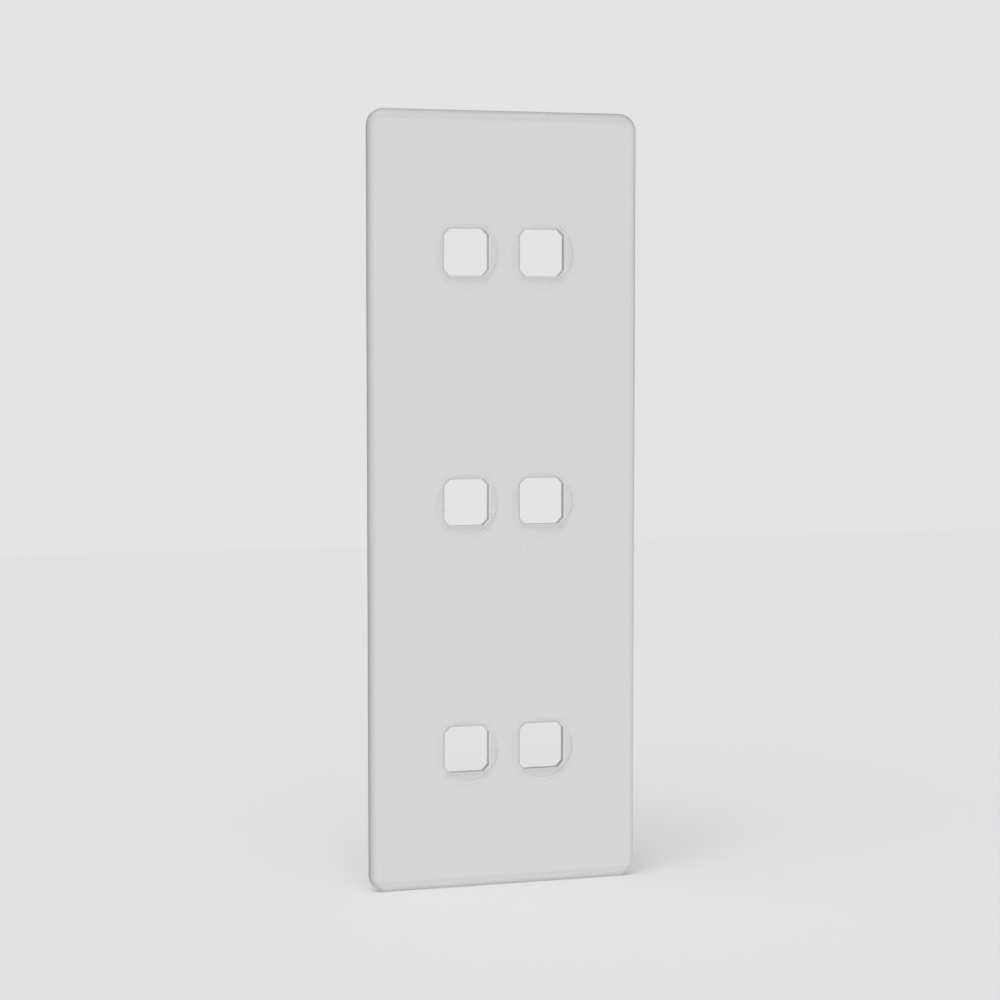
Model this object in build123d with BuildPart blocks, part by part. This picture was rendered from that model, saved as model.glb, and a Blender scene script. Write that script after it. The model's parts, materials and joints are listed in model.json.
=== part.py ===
from build123d import *
import os

# A three-gang switch plate cut from frosted acrylic. The flat back lies on the wall
# at y = 0, the front looks towards -Y, and the height runs along Z. Each gang has
# a pair of square openings, and a shallow round seat sinks each switch's collar.

# Plate: one gang lies over each wall box, and the ends reach past the outer boxes
gang_count = 3
gang_pitch = 71.0
plate_width = 80.0
end_margin = 40.0
plate_thickness = 2.5
corner_radius = 5.0
front_edge_radius = 2.0
back_edge_chamfer = 0.2

# Switch openings: two to a gang, side by side, with their corners cut at 45 degrees
switches_per_gang = 2
switch_pitch = 22.5
opening_width = 13.25
opening_corner = 1.7

# Collar seats: a round recess in the front face around each opening
seat_diameter = 18.5
seat_depth = 0.3

# Sizes worked out from those above
plate_height = (gang_count - 1) * gang_pitch + 2 * end_margin
wall_plane = Plane.XZ
front_plane = wall_plane.offset(plate_thickness)
switch_centres = GridLocations(switch_pitch, gang_pitch, switches_per_gang, gang_count)

with BuildPart() as switch_plate:
    # The blank, rounded at its corners in plan
    with BuildSketch(wall_plane):
        RectangleRounded(plate_width, plate_height, corner_radius)
    extrude(amount=plate_thickness)

    # The front rim is rolled over and the back rim only broken, so the plate sits flat
    front_face = switch_plate.faces().sort_by(Axis.Y)[0]
    fillet(front_face.edges(), radius=front_edge_radius)
    back_face = switch_plate.faces().sort_by(Axis.Y)[-1]
    chamfer(back_face.edges(), length=back_edge_chamfer)

    # The collar seats, sunk into the front
    with BuildSketch(front_plane):
        with Locations(*switch_centres):
            Circle(seat_diameter / 2)
    extrude(amount=-seat_depth, mode=Mode.SUBTRACT)

    # The openings, cut right through the floors of the seats
    with BuildSketch(wall_plane) as openings:
        with Locations(*switch_centres):
            Rectangle(opening_width, opening_width)
        chamfer(openings.vertices(), length=opening_corner)
    extrude(amount=plate_thickness, mode=Mode.SUBTRACT)

os.makedirs("parts", exist_ok=True)
switch_plate.part.label = "switch_plate"
export_step(switch_plate.part, "parts/switch_plate.step")
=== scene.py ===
import json
import math
import bpy
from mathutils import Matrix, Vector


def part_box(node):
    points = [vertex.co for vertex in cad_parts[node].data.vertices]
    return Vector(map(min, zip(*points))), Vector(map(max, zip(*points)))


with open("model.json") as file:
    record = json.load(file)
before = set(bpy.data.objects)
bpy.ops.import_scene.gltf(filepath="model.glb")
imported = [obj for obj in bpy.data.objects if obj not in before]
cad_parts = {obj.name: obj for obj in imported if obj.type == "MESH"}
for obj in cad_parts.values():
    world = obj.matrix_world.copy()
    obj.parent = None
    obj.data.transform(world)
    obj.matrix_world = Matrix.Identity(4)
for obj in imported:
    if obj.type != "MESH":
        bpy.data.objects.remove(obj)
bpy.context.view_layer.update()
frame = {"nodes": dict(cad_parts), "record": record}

# The switch plate is one sheet of clear acrylic, sawn to size, with its openings cut through,
# a round collar seat milled round each one and its front rim rolled over. Both faces are
# blasted to a fine frost, so light comes through softly. The darker edges, and the shade and
# highlight round the openings and seats and along the ends, are painted into its tone.
plate = frame["nodes"]["switch_plate"]
plate_low, plate_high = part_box("switch_plate")
millimetres_per_metre = 1000
seats = [mount for mount in frame["record"]["mounts"] if mount["kind"] == "bore"]
seat_radius = seats[0]["dims"]["r_mm"] / millimetres_per_metre
seat_depth = seats[0]["dims"]["length_mm"] / millimetres_per_metre
switch_offset = max(seat["pos_m"][0] for seat in seats)
gang_pitch = max(seat["pos_m"][2] for seat in seats)
opening_half_width = 0.006625
opening_corner_cut = 0.0017
rolled_rim_width = 0.0025
front_layer_depth = 2 * seat_depth
acrylic_ior = 1.49
acrylic_absorption = 3.0
acrylic_absorption_colour = (0.0, 0.0, 0.0, 1.0)


def worked_out(tree, operation, first, second=0.0, clamp=False):
    """Adds a Math node. A number is set on its socket, and another node's output is linked to it."""
    step = tree.nodes.new("ShaderNodeMath")
    step.operation = operation
    step.use_clamp = clamp
    for socket, value in zip(step.inputs, (first, second)):
        if isinstance(value, (int, float)):
            socket.default_value = value
        else:
            tree.links.new(value, socket)
    return step.outputs[0]


def mapped(tree, value, from_low, from_high, to_low, to_high):
    """Adds a Map Range node that turns one range of a value into another."""
    step = tree.nodes.new("ShaderNodeMapRange")
    step.inputs["From Min"].default_value = from_low
    step.inputs["From Max"].default_value = from_high
    step.inputs["To Min"].default_value = to_low
    step.inputs["To Max"].default_value = to_high
    tree.links.new(value, step.inputs["Value"])
    return step.outputs["Result"]


def product(tree, first, *others):
    """Multiplies several values, each of them another node's output."""
    result = first
    for other in others:
        result = worked_out(tree, "MULTIPLY", result, other)
    return result


def light_left(tree, amount, shade):
    """Gives the share of light left where a shade lies in this amount."""
    return worked_out(tree, "SUBTRACT", 1.0, worked_out(tree, "MULTIPLY", amount, shade))


def round_distance(tree, across, up):
    """Gives the distance of a point from a centre, from its places across and up."""
    flat_place = tree.nodes.new("ShaderNodeCombineXYZ")
    tree.links.new(across, flat_place.inputs["X"])
    tree.links.new(up, flat_place.inputs["Y"])
    distance = tree.nodes.new("ShaderNodeVectorMath")
    distance.operation = "LENGTH"
    tree.links.new(flat_place.outputs["Vector"], distance.inputs[0])
    return distance.outputs["Value"]


def opening_distance(tree, across, up):
    """Gives how far a point lies outside an opening with cut corners. Inside, it is less than 0."""
    across_length = worked_out(tree, "ABSOLUTE", across)
    up_length = worked_out(tree, "ABSOLUTE", up)
    longer = worked_out(tree, "MAXIMUM", across_length, up_length)
    past_wall = worked_out(tree, "SUBTRACT", longer, opening_half_width)
    both = worked_out(tree, "ADD", across_length, up_length)
    corner_limit = 2 * opening_half_width - opening_corner_cut
    past_limit = worked_out(tree, "SUBTRACT", both, corner_limit)
    past_corner = worked_out(tree, "DIVIDE", past_limit, math.sqrt(2.0))
    return worked_out(tree, "MAXIMUM", past_wall, past_corner)


frosted_acrylic = bpy.data.materials.new("frosted_acrylic")
frosted_acrylic.use_nodes = True
tree = frosted_acrylic.node_tree
acrylic = tree.nodes["Principled BSDF"]
acrylic.inputs["Transmission Weight"].default_value = 1.0
acrylic.inputs["IOR"].default_value = acrylic_ior
body = tree.nodes.new("ShaderNodeVolumeAbsorption")
body.inputs["Color"].default_value = acrylic_absorption_colour
body.inputs["Density"].default_value = acrylic_absorption
tree.links.new(body.outputs["Volume"], tree.nodes["Material Output"].inputs["Volume"])

# Where a point lies: across and up from the nearest switch's centre, and whether it is on the front
coordinates = tree.nodes.new("ShaderNodeTexCoord")
place = tree.nodes.new("ShaderNodeSeparateXYZ")
tree.links.new(coordinates.outputs["Object"], place.inputs["Vector"])
across_plate = worked_out(tree, "ABSOLUTE", place.outputs["X"])
up_plate = worked_out(tree, "ABSOLUTE", place.outputs["Z"])
on_right = worked_out(tree, "GREATER_THAN", place.outputs["X"], 0.0)
switch_place = mapped(tree, on_right, 0.0, 1.0, -switch_offset, switch_offset)
across_switch = worked_out(tree, "SUBTRACT", place.outputs["X"], switch_place)
gang = worked_out(tree, "ROUND", worked_out(tree, "DIVIDE", place.outputs["Z"], gang_pitch))
gang_place = worked_out(tree, "MULTIPLY", gang, gang_pitch)
up_switch = worked_out(tree, "SUBTRACT", place.outputs["Z"], gang_place)
on_front = worked_out(tree, "LESS_THAN", place.outputs["Y"], plate_low.y + front_layer_depth)

# Painted shade on the cut and rolled edges and the opening walls, darker the more they turn from the face,
# for the light lost where more of the acrylic lies behind the surface
rim_shade = 0.8
opening_wall_shade = 0.43
edge_shade_power = 0.6
facing = tree.nodes.new("ShaderNodeSeparateXYZ")
tree.links.new(coordinates.outputs["Normal"], facing.inputs["Vector"])
flatness = worked_out(tree, "ABSOLUTE", facing.outputs["Y"])
steepness = worked_out(tree, "SUBTRACT", 1.0, flatness, clamp=True)
turned = worked_out(tree, "POWER", steepness, edge_shade_power)
past_side = worked_out(tree, "GREATER_THAN", across_plate, plate_high.x - rolled_rim_width)
past_end = worked_out(tree, "GREATER_THAN", up_plate, plate_high.z - rolled_rim_width)
on_rim = worked_out(tree, "MAXIMUM", past_side, past_end)
edge_shade = mapped(tree, on_rim, 0.0, 1.0, opening_wall_shade, rim_shade)
edge_light = light_left(tree, turned, edge_shade)

# Painted shade on the floors of the seats, inside a circle dropped a little below each seat, and a
# painted soft round shadow line for the rim of each seat throwing its shadow down through the plate,
# which fades towards the lower left
seat_painted_shade = 0.075
seat_shadow_shade = 0.1
seat_shadow_radius = 0.0091
seat_shadow_drop = 0.0013
seat_shadow_blur = 0.0006
seat_shadow_fade = 0.4
from_seat = round_distance(tree, across_switch, up_switch)
in_seat = worked_out(tree, "LESS_THAN", from_seat, seat_radius)
up_shadow = worked_out(tree, "ADD", up_switch, seat_shadow_drop)
from_shadow = round_distance(tree, across_switch, up_shadow)
shadow_inside = seat_shadow_radius - seat_shadow_blur
in_shadow = mapped(tree, from_shadow, shadow_inside, seat_shadow_radius, 1.0, 0.0)
shaded_seat = product(tree, in_seat, in_shadow, on_front)
seat_light = light_left(tree, shaded_seat, seat_painted_shade)
past_shadow = worked_out(tree, "SUBTRACT", from_shadow, seat_shadow_radius)
off_shadow_line = worked_out(tree, "ABSOLUTE", past_shadow)
on_shadow_line = mapped(tree, off_shadow_line, 0.0, seat_shadow_blur, 1.0, 0.0)
up_and_right = worked_out(tree, "ADD", across_switch, up_shadow)
furthest = math.sqrt(2.0) * seat_shadow_radius
faded = mapped(tree, up_and_right, -furthest, furthest, 1.0 - seat_shadow_fade, 1.0 + seat_shadow_fade)
shadow_line = product(tree, on_shadow_line, faded, on_front)
shadow_light = light_left(tree, shadow_line, seat_shadow_shade)

# Painted shade: the soft dark line round each opening, standing for light leaking out through its
# walls. It lies a little low, as under a high light, and is fainter at the sides.
opening_shade = 0.19
opening_shade_reach = 0.0022
opening_shade_drop = 0.0006
opening_shade_power = 2.0
opening_side_setback = 0.0012
across_size = worked_out(tree, "ABSOLUTE", across_switch)
side_distance = worked_out(tree, "ADD", across_size, opening_side_setback)
up_size = worked_out(tree, "ABSOLUTE", worked_out(tree, "ADD", up_switch, opening_shade_drop))
square_distance = worked_out(tree, "MAXIMUM", side_distance, up_size)
opening_limit = opening_half_width + opening_shade_reach
near_opening = mapped(tree, square_distance, opening_half_width, opening_limit, 1.0, 0.0)
soft_opening = worked_out(tree, "POWER", near_opening, opening_shade_power)
opening_light = light_left(tree, product(tree, soft_opening, on_front), opening_shade)

# Painted shade and painted highlight along the front edge of each opening, as of a fine break that the
# solid does not have: darker on the left and at the top, where it would turn away from the high light
# on the left, and lighter on the right and at the bottom
break_shade = 0.2
break_width = 0.0003
break_across = 0.0003
break_up = 0.0002
up_left_across = worked_out(tree, "ADD", across_switch, break_across)
up_left_up = worked_out(tree, "SUBTRACT", up_switch, break_up)
from_up_left = opening_distance(tree, up_left_across, up_left_up)
break_painted_shade = mapped(tree, from_up_left, 0.0, break_width, 1.0, 0.0)
down_right_across = worked_out(tree, "SUBTRACT", across_switch, break_across)
down_right_up = worked_out(tree, "ADD", up_switch, break_up)
from_down_right = opening_distance(tree, down_right_across, down_right_up)
break_painted_highlight = mapped(tree, from_down_right, 0.0, break_width, 1.0, 0.0)
turned_away = worked_out(tree, "SUBTRACT", break_painted_shade, break_painted_highlight)
break_light = light_left(tree, product(tree, turned_away, on_front), break_shade)

# Painted shade: a faint darker band just inside the rolled rim at the top and the bottom
end_band_shade = 0.12
end_band_inner = 0.0033
end_band_outer = 0.0014
end_band_blur = 0.0008
band_start = plate_high.z - end_band_inner
band_end = plate_high.z - end_band_outer
past_start = mapped(tree, up_plate, band_start, band_start + end_band_blur, 0.0, 1.0)
before_end = mapped(tree, up_plate, band_end - end_band_blur, band_end, 1.0, 0.0)
in_band = product(tree, past_start, before_end, on_front)
band_light = light_left(tree, in_band, end_band_shade)

# The frost: a fine grain in the tone, the roughness and the relief
face_tone = 0.965
grain_shade = 0.13
grain_size = 0.0005
grain_detail = 3.0
grain_low, grain_high = 0.3, 0.7
smoothest, roughest = 0.27, 0.33
relief_strength = 1.0
relief_height = 0.00002
grain = tree.nodes.new("ShaderNodeTexNoise")
grain.inputs["Scale"].default_value = 1.0 / grain_size
grain.inputs["Detail"].default_value = grain_detail
tree.links.new(coordinates.outputs["Object"], grain.inputs["Vector"])
grain_light = mapped(tree, grain.outputs["Fac"], grain_low, grain_high, face_tone - grain_shade, face_tone)
grain_roughness = mapped(tree, grain.outputs["Fac"], grain_low, grain_high, smoothest, roughest)
relief = tree.nodes.new("ShaderNodeBump")
relief.inputs["Strength"].default_value = relief_strength
relief.inputs["Distance"].default_value = relief_height
tree.links.new(grain.outputs["Fac"], relief.inputs["Height"])

edge_and_seat_light = product(tree, edge_light, seat_light, shadow_light)
tone = product(tree, edge_and_seat_light, opening_light, break_light, band_light, grain_light)
tree.links.new(tone, acrylic.inputs["Base Color"])
tree.links.new(grain_roughness, acrylic.inputs["Roughness"])
tree.links.new(relief.outputs["Normal"], acrylic.inputs["Normal"])
plate.data.materials.clear()
plate.data.materials.append(frosted_acrylic)

# The floor is a wide sheet of pale matt card that the plate stands on, with a straight far edge
# where the backdrop begins. Seen through the frosted plate it has its even tone, without the
# shadow, and a share of that tone also lightens the shadow that the camera sees.
floor_colour = (0.765, 0.765, 0.765, 1.0)
floor_roughness = 0.9
floor_glow_colour = (0.782, 0.782, 0.782, 1.0)
floor_glow_share = 0.4
floor_near_edge = -4.0
floor_far_edge = 1.05
floor_width = 8.0

bpy.ops.object.select_all(action="DESELECT")
bpy.ops.mesh.primitive_plane_add(size=1.0)
floor = bpy.context.object
floor.name = "floor"
floor.scale = (floor_width, floor_far_edge - floor_near_edge, 1.0)
floor.location = (0.0, (floor_near_edge + floor_far_edge) / 2, plate_low.z)
bpy.ops.object.transform_apply(location=True, rotation=True, scale=True)

pale_card = bpy.data.materials.new("pale_card")
pale_card.use_nodes = True
tree = pale_card.node_tree
card = tree.nodes["Principled BSDF"]
card.inputs["Base Color"].default_value = floor_colour
card.inputs["Roughness"].default_value = floor_roughness
card.inputs["Specular IOR Level"].default_value = 0.0
glow = tree.nodes.new("ShaderNodeEmission")
glow.inputs["Color"].default_value = floor_glow_colour


def seen_by(tree, camera_share):
    """Gives a share to what the camera sees, 1 to what the plate shows it, and 0 to the floor's light."""
    ray = tree.nodes.new("ShaderNodeLightPath")
    direct = worked_out(tree, "MULTIPLY", ray.outputs["Is Camera Ray"], camera_share)
    bounced = worked_out(tree, "MAXIMUM", ray.outputs["Is Glossy Ray"], ray.outputs["Is Transmission Ray"])
    before_floor = worked_out(tree, "LESS_THAN", ray.outputs["Diffuse Depth"], 1.0)
    return worked_out(tree, "MAXIMUM", direct, worked_out(tree, "MULTIPLY", bounced, before_floor))


card_or_glow = tree.nodes.new("ShaderNodeMixShader")
tree.links.new(seen_by(tree, floor_glow_share), card_or_glow.inputs[0])
tree.links.new(card.outputs["BSDF"], card_or_glow.inputs[1])
tree.links.new(glow.outputs["Emission"], card_or_glow.inputs[2])
tree.links.new(card_or_glow.outputs["Shader"], tree.nodes["Material Output"].inputs["Surface"])
floor.data.materials.append(pale_card)

# The studio round the plate is an even pale backdrop, with one broad soft light high above it, a
# little to the left and in front. The backdrop is what is seen, directly or through the plate, and
# the light is what falls on things. Towards the right, the plate's gloss mirrors a dark room.
backdrop_colour = (0.775, 0.775, 0.775, 1.0)
dark_side_start, dark_side_full = 0.27, 0.38
light_turn = math.radians(38.0)
light_rise = math.radians(64.0)
light_strength = 5.78
light_edge_cosine = 0.8
light_colour = (1.0, 1.0, 1.0, 1.0)
light_direction = (
    -math.sin(light_turn) * math.cos(light_rise),
    -math.cos(light_turn) * math.cos(light_rise),
    math.sin(light_rise),
)

studio = bpy.data.worlds.new("studio")
studio.use_nodes = True
tree = studio.node_tree
tree.nodes.clear()
direction = tree.nodes.new("ShaderNodeTexCoord")
towards_light = tree.nodes.new("ShaderNodeVectorMath")
towards_light.operation = "DOT_PRODUCT"
towards_light.inputs[1].default_value = light_direction
tree.links.new(direction.outputs["Generated"], towards_light.inputs[0])
soft_light = tree.nodes.new("ShaderNodeBackground")
soft_light.inputs["Color"].default_value = light_colour
strength = mapped(tree, towards_light.outputs["Value"], light_edge_cosine, 1.0, 0.0, light_strength)
tree.links.new(strength, soft_light.inputs["Strength"])
backdrop = tree.nodes.new("ShaderNodeBackground")
backdrop.inputs["Color"].default_value = backdrop_colour
backdrop_ray = tree.nodes.new("ShaderNodeLightPath")
glossy = backdrop_ray.outputs["Is Glossy Ray"]
through = backdrop_ray.outputs["Is Transmission Ray"]
reflected = worked_out(tree, "SUBTRACT", glossy, through, clamp=True)
side = tree.nodes.new("ShaderNodeSeparateXYZ")
tree.links.new(direction.outputs["Generated"], side.inputs["Vector"])
dark_side = mapped(tree, side.outputs["X"], dark_side_start, dark_side_full, 0.0, 1.0)
tree.links.new(light_left(tree, reflected, dark_side), backdrop.inputs["Strength"])
light_or_backdrop = tree.nodes.new("ShaderNodeMixShader")
tree.links.new(seen_by(tree, 1.0), light_or_backdrop.inputs[0])
tree.links.new(soft_light.outputs["Background"], light_or_backdrop.inputs[1])
tree.links.new(backdrop.outputs["Background"], light_or_backdrop.inputs[2])
world_output = tree.nodes.new("ShaderNodeOutputWorld")
tree.links.new(light_or_backdrop.outputs["Shader"], world_output.inputs["Surface"])
scene = bpy.context.scene
scene.world = studio
scene.view_settings.view_transform = "Standard"

# The camera stands to the left of the plate and a little above its middle, and looks slightly down
# through a long lens.
camera_place = (-0.2133, -0.68502, 0.05268)
camera_tilt_down = math.radians(4.175)
camera_turn = math.radians(17.245)
lens_length = 90.2
sensor_width = 36.0

lens = bpy.data.cameras.new("camera")
lens.sensor_width = sensor_width
lens.lens = lens_length
camera = bpy.data.objects.new("camera", lens)
camera.location = camera_place
camera.rotation_euler = (math.pi / 2 - camera_tilt_down, 0.0, -camera_turn)
scene.collection.objects.link(camera)
scene.camera = camera
